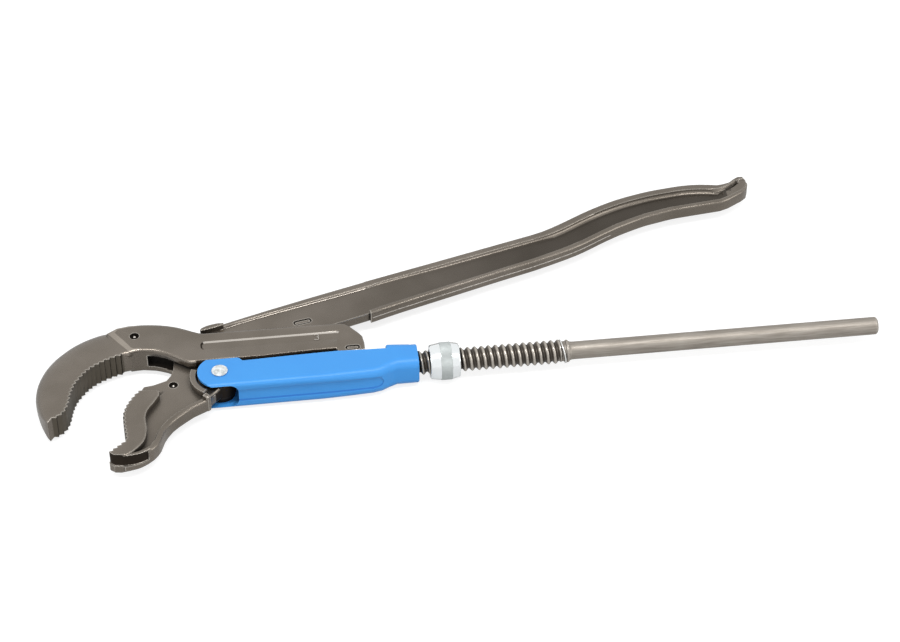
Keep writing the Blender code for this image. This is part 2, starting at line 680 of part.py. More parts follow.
def adjusting_nut():
    """The ring nut: tapered ends and a cylindrical middle band."""
    shoulder = NUT_END_R + 1.1
    taper = 1.2
    profile = [
        (NUT_X0, NUT_BORE_R), (NUT_X0, NUT_END_R - NUT_CHAMFER), (NUT_X0 + NUT_CHAMFER, NUT_END_R),
        (NUT_BAND_X0 - taper, shoulder), (NUT_BAND_X0, NUT_BAND_R), (NUT_BAND_X1, NUT_BAND_R),
        (NUT_BAND_X1 + taper, shoulder), (NUT_X1 - NUT_CHAMFER, NUT_END_R),
        (NUT_X1, NUT_END_R - NUT_CHAMFER), (NUT_X1, NUT_BORE_R),
    ]
    return turned_ring("adjusting_nut", profile)


def stop_ring():
    """A thin wire ring, leaning along the lead of the thread."""
    wire = arc(0.0, RING_R, RING_WIRE_R, 0, 2 * math.pi, 8)[:-1]
    ring = turned_ring("stop_ring", wire)
    ring.data.transform(Matrix.Rotation(RING_TILT, 4, "Y"))
    ring.data.transform(Matrix.Translation(Vector((RING_X, 0.0, 0.0)) * MM))
    return ring


def painted(obj, colour, metallic, roughness):
    material = bpy.data.materials.new(obj.name + "_finish")
    material.use_nodes = True
    shader = material.node_tree.nodes["Principled BSDF"]
    shader.inputs["Base Color"].default_value = (*colour, 1.0)
    shader.inputs["Metallic"].default_value = metallic
    shader.inputs["Roughness"].default_value = roughness
    obj.data.materials.clear()
    obj.data.materials.append(material)


def smooth_shaded(obj):
    obj.data.shade_smooth()
    obj.data.set_sharp_from_angle(angle=math.radians(32.0))


def empty_at(name, place, parent):
    """An empty on a joint axis, given in the wrench's own frame like its parent."""
    holder = bpy.data.objects.new(name, None)
    holder.empty_display_size = 0.02
    bpy.context.scene.collection.objects.link(holder)
    above = Vector(parent["place"]) if parent else Vector((0.0, 0.0, 0.0))
    holder["place"] = place
    holder.parent = parent
    holder.location = (Vector(place) - above) * MM
    return holder


def hang(obj, holder):
    """Parents a solid to an empty and moves its mesh so that its origin is on the joint axis."""
    obj.data.transform(Matrix.Translation(-Vector(holder["place"]) * MM))
    obj.parent = holder


def box_of(objects):
    points = [obj.matrix_world @ v.co for obj in objects for v in obj.data.vertices]
    low = [min(p[i] for p in points) for i in range(3)]
    high = [max(p[i] for p in points) for i in range(3)]
    return low, high


def main():
    clear_scene()
    hook = hook_leg()
    leg = lower_leg()
    housing = slide_housing()
    rivet = pivot_rivet()
    nut = adjusting_nut()
    ring = stop_ring()
    solids = [hook, leg, housing, rivet, nut, ring]
    steel, zinc = (0.20, 0.175, 0.15), (0.66, 0.69, 0.69)
    finishes = [
        (hook, steel, 0.8, 0.5), (leg, steel, 0.8, 0.52), (housing, (0.05, 0.20, 0.72), 0.0, 0.42),
        (rivet, zinc, 1.0, 0.3), (nut, zinc, 1.0, 0.3), (ring, zinc, 1.0, 0.25),
    ]
    for obj, colour, metallic, roughness in finishes:
        face_out(obj)
        painted(obj, colour, metallic, roughness)
        smooth_shaded(obj)

    bpy.context.view_layer.update()
    low, high = box_of(solids)
    root = empty_at("wrench", (0.0, 0.0, 0.0), None)
    root.location = (-(low[0] + high[0]) / 2, -(low[1] + high[1]) / 2, -low[2])
    slide = empty_at("slide_axis", (0.0, 0.0, 0.0), root)
    pivot = empty_at("pivot_axis", (0.0, PIVOT_Y, 0.0), slide)
    nut_axis = empty_at("nut_axis", ((NUT_X0 + NUT_X1) / 2, 0.0, 0.0), slide)
    hang(hook, root)
    hang(ring, root)
    hang(housing, slide)
    hang(rivet, slide)
    hang(leg, pivot)
    hang(nut, nut_axis)
    bpy.context.view_layer.update()
    for holder in (root, pivot, nut_axis):
        print(holder.name, [round(v, 6) for v in holder.matrix_world.translation])


main()
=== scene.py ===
"""Looks of the angled pipe wrench: finishes, real thread, forging marks, light, floor and camera.

Shapes here are drawn in millimetres in the wrench's own frame, as in the part's source:
X along the rod axis from the pivot, Y towards the I-beam handle, Z = 0 in the middle plane.
"""

import json
import math

import bmesh
import bpy
import numpy as np
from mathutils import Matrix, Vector

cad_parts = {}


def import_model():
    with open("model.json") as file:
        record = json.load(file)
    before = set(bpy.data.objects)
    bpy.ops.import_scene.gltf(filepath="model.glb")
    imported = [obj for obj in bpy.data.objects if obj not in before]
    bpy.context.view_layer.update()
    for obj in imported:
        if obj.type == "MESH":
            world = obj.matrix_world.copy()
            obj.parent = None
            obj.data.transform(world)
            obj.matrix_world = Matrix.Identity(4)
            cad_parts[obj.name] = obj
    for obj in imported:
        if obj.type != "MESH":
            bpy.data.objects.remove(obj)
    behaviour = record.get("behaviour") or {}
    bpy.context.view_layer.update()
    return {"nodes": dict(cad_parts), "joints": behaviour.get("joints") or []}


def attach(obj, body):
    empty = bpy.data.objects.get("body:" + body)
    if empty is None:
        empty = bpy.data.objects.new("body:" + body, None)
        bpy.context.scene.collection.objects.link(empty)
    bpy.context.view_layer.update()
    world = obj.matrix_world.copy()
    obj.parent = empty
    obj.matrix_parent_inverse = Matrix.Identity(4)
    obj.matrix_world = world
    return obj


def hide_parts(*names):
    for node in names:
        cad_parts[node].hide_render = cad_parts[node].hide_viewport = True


MM = 0.001
PIVOT_Y = -4.6
BODY_HALF = 11.4
PLATE_HALF = 3.9
SLOT_HALF = 5.4
BENCH_Z = -14.8

# Rod, thread and the parts on it, as in the part's source.
ROD_R = 7.0
THREAD_CREST_R = 9.5
THREAD_ROOT_R = 7.3
THREAD_PITCH = 5.46
THREAD_X0 = 118.0
THREAD_X1 = 266.4
ROD_CUT_X = 114.5
NECK_R = 8.9
NECK_X1 = 273.6
ROD_END_X = 519.0
ROD_END_CHAMFER = 1.2
NUT_X0 = 162.6
NUT_X1 = 185.8
NUT_END_R = 13.4
NUT_BAND_R = 14.8
NUT_BAND_X0 = 170.6
NUT_BAND_X1 = 179.5
NUT_BORE_R = 9.8
RING_X = 267.3
RING_WIRE_R = 0.65
RING_R = 8.85
RING_LEAN = 0.2
RING_SEAT_R = 7.85

# Marks pressed into the upper faces of the legs: middle and outer radius of the two round ones.
HOOK_MARK = (-64.0, 45.7)
HOOK_MARK_R = 3.7
JAW_MARK = (-36.1, -6.6)
JAW_MARK_R = 3.5
MARK_BUTTON_R = 1.25
PANEL_X0 = -13.3
PANEL_X1 = 96.2
PANEL_Y0 = 22.8
PANEL_Y1 = 32.6
PANEL_DEEP = 0.9

# The trimmed upper half of the jaw's nose, and the middle line of the turned-up handle tip.
NOSE_LINE = [
    (-86.2, -79.0), (-85.4, -80.9), (-82.7, -83.2), (-78.2, -84.0), (-75.4, -84.9),
    (-69.2, -84.1), (-63.4, -82.6), (-57.6, -79.9),
]
NOSE_OUTSIDE = [(-55.0, -86.0), (-69.0, -93.0), (-92.0, -93.0), (-93.0, -79.0)]
TIP_MIDDLE_LINE = [
    (412.0, 177.6), (417.4, 177.9), (423.4, 177.9), (429.5, 178.6), (436.2, 181.6), (442.2, 185.6),
    (446.6, 189.4),
]
HOOK_TOOTH_LINE = [
    (-128.2, -38.6), (-120.9, -33.6), (-117.4, -25.3), (-115.1, -12.3), (-110.6, 0.1),
    (-102.4, 11.8), (-91.8, 20.2), (-74.8, 27.7),
]

# Photographer's place: the camera in the wrench's frame, its tilt, turn and lens.
CAMERA_AT = (5.30, -1409.22, 1274.94)
CAMERA_ELEVATION = 41.0
CAMERA_AZIMUTH = 7.013
CAMERA_LENS = 98.0
CAMERA_SENSOR = 36.0

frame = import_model()

PIVOT = next(j for j in frame["joints"] if j["name"] == "jaw_pivot")["pos_m"]
ORIGIN = Vector((PIVOT[0], PIVOT[1] - PIVOT_Y * MM, PIVOT[2]))


def world(x, y, z):
    """A point given in the wrench's own millimetre frame, in world metres."""
    return ORIGIN + Vector((x, y, z)) * MM


# Mesh helpers


def new_object(name, mesh):
    made = bpy.data.objects.new(name, mesh)
    bpy.context.scene.collection.objects.link(made)
    return made


def mesh_object(name, points, faces):
    """An object from points in the wrench's frame, with its faces turned outwards."""
    mesh = bpy.data.meshes.new(name)
    mesh.from_pydata([world(*p) for p in points], [], faces)
    work = bmesh.new()
    work.from_mesh(mesh)
    bmesh.ops.remove_doubles(work, verts=work.verts, dist=1e-6)
    bmesh.ops.recalc_face_normals(work, faces=work.faces)
    work.to_mesh(mesh)
    work.free()
    return new_object(name, mesh)


def ring_faces(a, b, count):
    """The quads between two closed rings of this many points, which start at points a and b."""
    faces = []
    for k in range(count):
        n = (k + 1) % count
        faces.append([a + k, a + n, b + n, b + k])
    return faces


def lofted(name, rings):
    """Equal rings of points joined in order, closed at both ends."""
    count = len(rings[0])
    points = [p for ring in rings for p in ring]
    faces = [list(range(count))[::-1], [(len(rings) - 1) * count + k for k in range(count)]]
    for i in range(len(rings) - 1):
        faces += ring_faces(i * count, (i + 1) * count, count)
    return mesh_object(name, points, faces)


def round_rod(x, radius, angle):
    """The point at this X, distance and angle round the rod axis."""
    return (x, radius * math.cos(angle), radius * math.sin(angle))


def turned(name, profile, steps=128):
    """A closed profile of (X, radius) turned round the rod axis."""
    points = []
    for x, radius in profile:
        for k in range(steps):
            points.append(round_rod(x, radius, 2 * math.pi * k / steps))
    faces = []
    for i in range(len(profile)):
        a, b = i * steps, (i + 1) % len(profile) * steps
        for k in range(steps):
            n = (k + 1) % steps
            faces.append([a + k, b + k, b + n, a + n])
    return mesh_object(name, points, faces)


def stadium(x0, x1, y0, y1, corner, grow, z, steps=6):
    """The outline of a rounded rectangle, grown by this much on every side, at this height."""
    x0, x1, y0, y1, corner = x0 - grow, x1 + grow, y0 - grow, y1 + grow, corner + grow
    ring = []
    for cx, cy, start in (
        (x1 - corner, y1 - corner, 0), (x0 + corner, y1 - corner, 1),
        (x0 + corner, y0 + corner, 2), (x1 - corner, y0 + corner, 3),
    ):
        for k in range(steps + 1):
            angle = math.pi / 2 * (start + k / steps)
            ring.append((cx + corner * math.cos(angle), cy + corner * math.sin(angle), z))
    return ring


def turned_ring(ring, x, y, degrees):
    """The ring turned about the upright line through (x, y)."""
    c, s = math.cos(math.radians(degrees)), math.sin(math.radians(degrees))
    return [(x + c * px - s * py, y + s * px + c * py, z) for px, py, z in ring]


def evaluated_mesh(obj):
    """The object's mesh with its modifiers applied."""
    graph = bpy.context.evaluated_depsgraph_get()
    return bpy.data.meshes.new_from_object(obj.evaluated_get(graph))


def cut(obj, cutters):
    """Cuts these pieces out of the object and removes them."""
    for cutter in cutters:
        change = obj.modifiers.new("cut", "BOOLEAN")
        change.operation = "DIFFERENCE"
        change.solver = "EXACT"
        change.object = cutter
        obj.data = evaluated_mesh(obj)
        obj.modifiers.clear()
        bpy.data.objects.remove(cutter)


def mark_faces(obj, *tests):
    """Numbers each face for its finish: k for the kth test, the first that it passes, or 0 for none.

    A test takes the face's middle, in millimetres in the wrench's frame, and its normal.
    """
    for face in obj.data.polygons:
        middle = (face.center - ORIGIN) / MM
        passed = [k for k, test in enumerate(tests, 1) if test(middle, face.normal)]
        face.material_index = passed[0] if passed else 0


def either(*tests):
    """A face test that passes where any of these does."""
    return lambda middle, normal: any(test(middle, normal) for test in tests)


def prism(name, outline, z0, z1):
    """An outline in X and Y as a straight block between two heights."""
    return lofted(name, [[(x, y, z) for x, y in outline] for z in (z0, z1)])


def cad_copy(node, name, whole=True):
    """A copy of a CAD node's mesh, with its flat faces made whole unless it is to be cut."""
    made = new_object(name, frame["nodes"][node].data.copy())
    work = bmesh.new()
    work.from_mesh(made.data)
    bmesh.ops.remove_doubles(work, verts=work.verts, dist=2e-6)
    if whole:
        bmesh.ops.dissolve_limit(
            work, angle_limit=math.radians(0.4), verts=work.verts, edges=work.edges
        )
    work.to_mesh(made.data)
    work.free()
    return made


def shaded(obj, crease):
    """Smooth shading that keeps edges sharper than this many degrees, with flat faces kept flat."""
    mesh = obj.data
    mesh.polygons.foreach_set("use_smooth", [True] * len(mesh.polygons))
    mesh.set_sharp_from_angle(angle=math.radians(crease))
    weigh = obj.modifiers.new("flat_faces", "WEIGHTED_NORMAL")
    weigh.keep_sharp = True
    weigh.weight = 60


def finished(obj, body, material, nodes=(), crease=38.0, others=()):
    """Gives the piece its finish, and its marked faces the other ones, and lets it ride on its body."""
    marked = [face.material_index for face in obj.data.polygons]
    obj.data.materials.clear()
    for finish in (material, *others):
        obj.data.materials.append(finish)
    if others:
        obj.data.polygons.foreach_set("material_index", marked)
    shaded(obj, crease)
    if nodes:
        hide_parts(*nodes)
    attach(obj, body)
    return obj


# Finishes


def socket(group, name, kind, inout, default=None):
    """A named input or output on the face of a node group."""
    made = group.interface.new_socket(name=name, in_out=inout, socket_type=kind)
    if default is not None:
        made.default_value = default
    return made


def math_node(tree, operation, a, b=None, clamp=False):
    """A math node on two values, each a number or an output to read."""
    made = tree.nodes.new("ShaderNodeMath")
    made.operation = operation
    made.use_clamp = clamp
    for k, value in enumerate((a, b)):
        if value is None:
            continue
        if isinstance(value, (int, float)):
            made.inputs[k].default_value = value
        else:
            tree.links.new(value, made.inputs[k])
    return made.outputs[0]


def mapped(tree, value, low, high, to_low=0.0, to_high=1.0):
    """The value taken from one span to another, held at its ends."""
    made = tree.nodes.new("ShaderNodeMapRange")
    made.inputs["From Min"].default_value = low
    made.inputs["From Max"].default_value = high
    made.inputs["To Min"].default_value = to_low
    made.inputs["To Max"].default_value = to_high
    tree.links.new(value, made.inputs["Value"])
    return made.outputs["Result"]


def mixed(tree, share, a, b):
    """A colour between two, each a colour or an output to read."""
    made = tree.nodes.new("ShaderNodeMix")
    made.data_type = "RGBA"
    for value, name in ((share, 0), (a, 6), (b, 7)):
        if isinstance(value, (int, float)):
            made.inputs[name].default_value = value
        elif isinstance(value, tuple):
            made.inputs[name].default_value = (*value, 1.0)
        else:
            tree.links.new(value, made.inputs[name])
    return made.outputs[2]


def vector_node(tree, operation, a, b=None):
    """A vector maths node on an output, and on a second output or a fixed vector."""
    made = tree.nodes.new("ShaderNodeVectorMath")
    made.operation = operation
    tree.links.new(a, made.inputs[0])
    if isinstance(b, tuple):
        made.inputs[1].default_value = b
    elif b is not None:
        tree.links.new(b, made.inputs["Scale" if operation == "SCALE" else 1])
    return made.outputs["Value" if operation in ("DOT_PRODUCT", "LENGTH") else "Vector"]


def object_coords(tree):
    return tree.nodes.new("ShaderNodeTexCoord").outputs["Object"]


def axis_of(tree, vector, axis):
    """One axis of a vector output."""
    parts = tree.nodes.new("ShaderNodeSeparateXYZ")
    tree.links.new(vector, parts.inputs[0])
    return parts.outputs[axis]


def noise(tree, scale, detail=3.0, rough=0.5, stretch=None, coords=None):
    """Noise in the piece's own metres or at these coordinates; stretch squeezes it along chosen axes."""
    coords = coords or object_coords(tree)
    if stretch:
        lay = tree.nodes.new("ShaderNodeMapping")
        lay.inputs["Scale"].default_value = stretch
        tree.links.new(coords, lay.inputs["Vector"])
        coords = lay.outputs["Vector"]
    made = tree.nodes.new("ShaderNodeTexNoise")
    made.inputs["Scale"].default_value = scale
    made.inputs["Detail"].default_value = detail
    made.inputs["Roughness"].default_value = rough
    tree.links.new(coords, made.inputs["Vector"])
    return made.outputs["Fac"]


def edge_wear_and_highlight_group():
    """A convex-edge mask for wear and a painted edge highlight: 1 on a convex edge, broken up by noise, 0 on
    open faces.
    """
    group = bpy.data.node_groups.new("edge_wear_and_highlight", "ShaderNodeTree")
    socket(group, "Radius", "NodeSocketFloat", "INPUT", 0.0008)
    socket(group, "Patchiness", "NodeSocketFloat", "INPUT", 0.5)
    socket(group, "Wear and highlight", "NodeSocketFloat", "OUTPUT")
    ins = group.nodes.new("NodeGroupInput")
    outs = group.nodes.new("NodeGroupOutput")
    bevel = group.nodes.new("ShaderNodeBevel")
    bevel.samples = 6
    group.links.new(ins.outputs["Radius"], bevel.inputs["Radius"])
    shape = group.nodes.new("ShaderNodeNewGeometry")
    likeness = vector_node(group, "DOT_PRODUCT", bevel.outputs["Normal"], shape.outputs["Normal"])
    bent = mapped(group, likeness, 0.995, 0.86)
    hollow = group.nodes.new("ShaderNodeAmbientOcclusion")
    hollow.samples = 4
    hollow.inputs["Distance"].default_value = 0.0015
    convex = mapped(group, hollow.outputs["AO"], 0.55, 0.85)
    patches = mapped(group, noise(group, 260.0, 4.0, 0.6), 0.36, 0.62)
    broken = math_node(group, "MULTIPLY", patches, ins.outputs["Patchiness"])
    whole = math_node(group, "SUBTRACT", 1.0, ins.outputs["Patchiness"])
    kept = math_node(group, "ADD", broken, whole, True)
    worn = math_node(group, "MULTIPLY", bent, convex)
    group.links.new(math_node(group, "MULTIPLY", worn, kept, True), outs.inputs["Wear and highlight"])
    return group


def crevice_group():
    """How deep in a corner a point lies, from ambient occlusion, as the mask for painted shade: 0 in the
    open, 1 in a tight crevice.
    """
    group = bpy.data.node_groups.new("crevice", "ShaderNodeTree")
    socket(group, "Reach", "NodeSocketFloat", "INPUT", 0.006)
    socket(group, "Crevice", "NodeSocketFloat", "OUTPUT")
    ins = group.nodes.new("NodeGroupInput")
    outs = group.nodes.new("NodeGroupOutput")
    shade = group.nodes.new("ShaderNodeAmbientOcclusion")
    shade.samples = 8
    group.links.new(ins.outputs["Reach"], shade.inputs["Distance"])
    group.links.new(mapped(group, shade.outputs["AO"], 0.9, 0.25), outs.inputs["Crevice"])
    return group


def blast_grain_group():
    """The fine pitted skin of shot-blasted steel: a height, and a mask for its wide soft blotches."""
    group = bpy.data.node_groups.new("blast_grain", "ShaderNodeTree")
    socket(group, "Size", "NodeSocketFloat", "INPUT", 1.0)
    socket(group, "Height", "NodeSocketFloat", "OUTPUT")
    socket(group, "Blotch", "NodeSocketFloat", "OUTPUT")
    ins = group.nodes.new("NodeGroupInput")
    outs = group.nodes.new("NodeGroupOutput")
    sized = vector_node(group, "SCALE", object_coords(group), ins.outputs["Size"])
    heights = []
    for scale, share in ((1900.0, 0.45), (700.0, 0.35), (210.0, 0.2)):
        pits = noise(group, scale, 2.0, coords=sized)
        heights.append(math_node(group, "MULTIPLY", pits, share))
    total = math_node(group, "ADD", math_node(group, "ADD", heights[0], heights[1]), heights[2])
    group.links.new(total, outs.inputs["Height"])
    wide = noise(group, 22.0, 5.0, coords=sized)
    group.links.new(mapped(group, wide, 0.34, 0.66), outs.inputs["Blotch"])
    return group


EDGE_WEAR_AND_HIGHLIGHT = edge_wear_and_highlight_group()
CREVICE = crevice_group()
BLAST_GRAIN = blast_grain_group()


def use_group(tree, group, **values):
    """A node of this group, with these values on its inputs."""
    made = tree.nodes.new("ShaderNodeGroup")
    made.node_tree = group
    for name, value in values.items():
        made.inputs[name].default_value = value
    return made


def started(name, metallic, coat=0.0, coat_rough=0.1, specular=0.5):
    """A new material with its Principled shader's plain values."""
    material = bpy.data.materials.new(name)
    material.use_nodes = True
    shader = material.node_tree.nodes["Principled BSDF"]
    shader.inputs["Metallic"].default_value = metallic
    shader.inputs["Coat Weight"].default_value = coat
    shader.inputs["Coat Roughness"].default_value = coat_rough
    shader.inputs["Specular IOR Level"].default_value = specular
    return material, material.node_tree, shader


def bumped(tree, shader, height, strength, distance):
    """Gives the shader a bump from this height."""
    bump = tree.nodes.new("ShaderNodeBump")
    bump.inputs["Strength"].default_value = strength
    bump.inputs["Distance"].default_value = distance
    tree.links.new(height, bump.inputs["Height"])
    tree.links.new(bump.outputs["Normal"], shader.inputs["Normal"])


def root_depth(tree):
    """How near the thread's root a point lies: 1 at the root, 0 at the crest."""
    from_axis = vector_node(tree, "SUBTRACT", object_coords(tree), (0.0, ORIGIN.y, ORIGIN.z))
    across = vector_node(tree, "MULTIPLY", from_axis, (0.0, 1.0, 1.0))
    radius = vector_node(tree, "LENGTH", across)
    return mapped(tree, radius, (THREAD_CREST_R - 0.25) * MM, (THREAD_ROOT_R + 0.35) * MM)


def forged_steel(
    name, dark, light, bare, rough, grain=1.0, stretch=None, threaded=False, reach=0.008, shade_share=0.85,
    shade_from=None,
):
    """Lacquered forged steel: two tones in soft blotches, bare along edges where a painted edge highlight
    also goes, painted shade in crevices.

    stretch draws it out in lengthwise lines, threaded paints a highlight on a thread's crest and shade in its
    root, and shade_from is the X at which painted shade starts to darken it towards the handle's end.
    """
    material, tree, shader = started(name, 0.88)
    skin = use_group(tree, BLAST_GRAIN, Size=grain)
    wear_and_highlight = use_group(tree, EDGE_WEAR_AND_HIGHLIGHT, Radius=0.0016, Patchiness=0.2)
    deep = use_group(tree, CREVICE, Reach=reach)
    tone = mixed(tree, skin.outputs["Blotch"], dark, light)
    if stretch:
        grain_lines = mapped(tree, noise(tree, 900.0, 2.0, 0.5, stretch), 0.3, 0.7)
        tone = mixed(tree, math_node(tree, "MULTIPLY", grain_lines, 0.25), tone, bare)
    # Painted shade that deepens along X towards the handle's end.
    if shade_from:
        start_x, end_x = world(shade_from, 0, 0).x, world(shade_from + SHADE_LENGTH, 0, 0).x
        shade = mapped(tree, axis_of(tree, object_coords(tree), "X"), start_x, end_x)
        tone = mixed(tree, math_node(tree, "MULTIPLY", shade, 0.74), tone, STEEL_SHADE)
    # Bare steel on the edges: worn bright, and a painted edge highlight too.
    tone = mixed(tree, math_node(tree, "MULTIPLY", wear_and_highlight.outputs["Wear and highlight"], 0.9), tone, bare)
    # Painted shade: ambient occlusion darkens crevices towards a near-black of the dark tone.
    painted_shade = math_node(tree, "MULTIPLY", deep.outputs["Crevice"], shade_share)
    # Painted highlight towards the thread's crest and painted shade in its root.
    if threaded:
        root = root_depth(tree)
        tone = mixed(tree, math_node(tree, "SUBTRACT", 0.45, root, True), tone, bare)
        painted_shade = math_node(tree, "MAXIMUM", painted_shade, math_node(tree, "MULTIPLY", root, 0.8))
    tone = mixed(tree, painted_shade, tone, tuple(c * 0.16 for c in dark))
    tree.links.new(tone, shader.inputs["Base Color"])
    dull = mapped(tree, skin.outputs["Height"], 0.3, 0.7, rough - 0.05, rough + 0.07)
    dull = math_node(tree, "SUBTRACT", dull, math_node(tree, "MULTIPLY", wear_and_highlight.outputs["Wear and highlight"], 0.12))
    dull = math_node(tree, "ADD", dull, math_node(tree, "MULTIPLY", painted_shade, 0.25))
    tree.links.new(dull, shader.inputs["Roughness"])
    bumped(tree, shader, skin.outputs["Height"], 0.07, 0.00025)
    return material


def powder_coat(name, colour, deep_colour, edge_colour):
    """Smooth blue powder coat: orange peel, worn thinner and with a painted highlight over edges, painted
    shade in corners.
    """
    material, tree, shader = started(name, 0.0, 0.0, 0.25, 0.4)
    wear_and_highlight = use_group(tree, EDGE_WEAR_AND_HIGHLIGHT, Radius=0.0007, Patchiness=0.7)
    deep = use_group(tree, CREVICE, Reach=0.004)
    blotch = mapped(tree, noise(tree, 18.0, 3.0, 0.5), 0.35, 0.65)
    tone = mixed(tree, math_node(tree, "MULTIPLY", blotch, 0.2), colour, deep_colour)
    tone = mixed(tree, math_node(tree, "MULTIPLY", wear_and_highlight.outputs["Wear and highlight"], 0.45), tone, edge_colour)
    # Painted shade: ambient occlusion darkens corners towards the deep colour.
    tone = mixed(tree, math_node(tree, "MULTIPLY", deep.outputs["Crevice"], 0.6), tone, deep_colour)
    tree.links.new(tone, shader.inputs["Base Color"])
    peel = noise(tree, 420.0, 2.0, 0.4)
    tree.links.new(mapped(tree, peel, 0.3, 0.7, 0.34, 0.42), shader.inputs["Roughness"])
    bumped(tree, shader, peel, 0.12, 0.0003)
    return material


def zinc_plate(name, light, dull_tone, rough, mottle_scale, mottle, knurl=False, metallic=0.92):
    """Zinc plating: bright, softly mottled, with painted shade in corners; a knurled face gets a rougher
    skin.
    """
    material, tree, shader = started(name, metallic)
    wear_and_highlight = use_group(tree, EDGE_WEAR_AND_HIGHLIGHT, Radius=0.0005, Patchiness=0.4)
    deep = use_group(tree, CREVICE, Reach=0.003)
    spots = mapped(tree, noise(tree, mottle_scale, 4.0, 0.6), 0.38, 0.62)
    tone = mixed(tree, math_node(tree, "MULTIPLY", spots, mottle), light, dull_tone)
    # Lighter edges: worn bright, and a painted edge highlight too.
    tone = mixed(tree, math_node(tree, "MULTIPLY", wear_and_highlight.outputs["Wear and highlight"], 0.5), tone, (0.9, 0.92, 0.92))
    # Painted shade: ambient occlusion darkens corners.
    tone = mixed(tree, math_node(tree, "MULTIPLY", deep.outputs["Crevice"], 0.6), tone, (0.12, 0.115, 0.11))
    tree.links.new(tone, shader.inputs["Base Color"])
    tree.links.new(mapped(tree, spots, 0.0, 1.0, rough, rough + 0.14 * mottle), shader.inputs["Roughness"])
    fine = noise(tree, 1500.0, 2.0, 0.5)
    bumped(tree, shader, fine, 0.25 if knurl else 0.01, 0.0002)
    return material


STEEL_DARK = (0.158, 0.137, 0.113)
STEEL_LIGHT = (0.207, 0.181, 0.154)
STEEL_BARE_AND_HIGHLIGHT = (0.66, 0.62, 0.56)
STEEL_SHADE = (0.03, 0.024, 0.018)
SHADE_LENGTH = 230.0

leg_steel = forged_steel("leg_steel", STEEL_DARK, STEEL_LIGHT, STEEL_BARE_AND_HIGHLIGHT, 0.27)
# Near-black for painted shade: the slot, hidden undersides, tooth gaps, the panel's end, the nose facet, the
# hub and the marks' moats.
painted_shade_black = forged_steel(
    "painted_shade_black", (0.019, 0.014, 0.01), (0.028, 0.021, 0.015), (0.08, 0.068, 0.056), 0.6
)
# A darker copy of the leg steel with short-reach crevice darkening: painted shade on the tooth row.
tooth_shade_steel = forged_steel(
    "tooth_shade_steel", (0.085, 0.073, 0.055), (0.12, 0.104, 0.082), STEEL_BARE_AND_HIGHLIGHT, 0.32, reach=0.0028, shade_share=1.0
)
# Light steel for bare worn ridges, also used as a painted highlight on the marks' buttons, the panel's brow,
# the figure and the flash ridge.
bare_and_highlight_steel = forged_steel(
    "bare_and_highlight_steel", (0.5, 0.46, 0.41), (0.6, 0.56, 0.51), (0.75, 0.72, 0.68), 0.25, shade_share=0.2
)
# A lighter copy of the leg steel: painted highlight on the hook's ramp.
ramp_highlight_steel = forged_steel("ramp_highlight_steel", (0.27, 0.236, 0.2), (0.36, 0.32, 0.275), STEEL_BARE_AND_HIGHLIGHT, 0.27)
# The leg steel with painted shade that deepens towards the grip.
shaded_steel = forged_steel("shaded_steel", STEEL_DARK, STEEL_LIGHT, STEEL_BARE_AND_HIGHLIGHT, 0.27, shade_from=30.0)
rod_steel = forged_steel(
    "rod_steel", (0.215, 0.19, 0.163), (0.275, 0.247, 0.215), STEEL_BARE_AND_HIGHLIGHT, 0.5, 1.4, (0.05, 1.0, 1.0)
)
thread_steel = forged_steel(
    "thread_steel", (0.2, 0.173, 0.143), (0.28, 0.246, 0.21), STEEL_BARE_AND_HIGHLIGHT, 0.26, 1.4, threaded=True
)
blue_coat = powder_coat("blue_coat", (0.048, 0.285, 0.70), (0.03, 0.19, 0.6), (0.20, 0.50, 0.92))
# Deeper blue for painted shade on the walls of the web's pressed hollow.
blue_painted_shade = powder_coat("blue_painted_shade", (0.028, 0.19, 0.60), (0.02, 0.13, 0.46), (0.12, 0.36, 0.8))
nut_bright = zinc_plate("nut_bright", (0.84, 0.87, 0.88), (0.78, 0.82, 0.82), 0.16, 160.0, 0.2)
nut_matte = zinc_plate("nut_matte", (0.43, 0.46, 0.455), (0.38, 0.41, 0.405), 0.58, 300.0, 0.4, True)
rivet_zinc = zinc_plate(
    "rivet_zinc", (0.8, 0.83, 0.83), (0.38, 0.41, 0.41), 0.3, 330.0, 0.85, metallic=0.35
)
ring_wire = zinc_plate("ring_wire", (0.80, 0.80, 0.78), (0.62, 0.61, 0.59), 0.2, 200.0, 0.3)


# Hook leg and rod


def dimple(name, centre, face_z, out_r, deep):
    """A round punch mark as a cutter: a moat round a low button, both sunk in the face."""
    steps = 40
    x, y = centre
    button_share = 0.15
    profile = [
        (out_r * 0.16, 0.2), (out_r * 0.30, 0.5), (out_r * 0.38, 1.0), (out_r * 0.78, 1.0),
        (out_r * 0.92, 0.5), (out_r, 0.0), (out_r * 1.03, -0.6),
    ]
    points = [(x, y, face_z - deep * button_share)]
    for radius, share in profile:
        for k in range(steps):
            angle = 2 * math.pi * k / steps
            points.append((x + radius * math.cos(angle), y + radius * math.sin(angle), face_z - deep * share))
    faces = [[0, 1 + (k + 1) % steps, 1 + k] for k in range(steps)]
    for i in range(len(profile) - 1):
        faces += ring_faces(1 + i * steps, 1 + (i + 1) * steps, steps)
    last = 1 + (len(profile) - 1) * steps
    faces.append([last + k for k in range(steps)])
    return mesh_object(name, points, faces)


def tray(name, x0, x1, y0, y1, corner, face_z, deep, slope):
    """A shallow field with sloping sides, as a cutter."""
    low = stadium(x0, x1, y0, y1, corner, -slope, face_z - deep)
    edge = stadium(x0, x1, y0, y1, corner, 0.0, face_z)
    high = stadium(x0, x1, y0, y1, corner, slope, face_z + deep)
    return lofted(name, [low, edge, high])


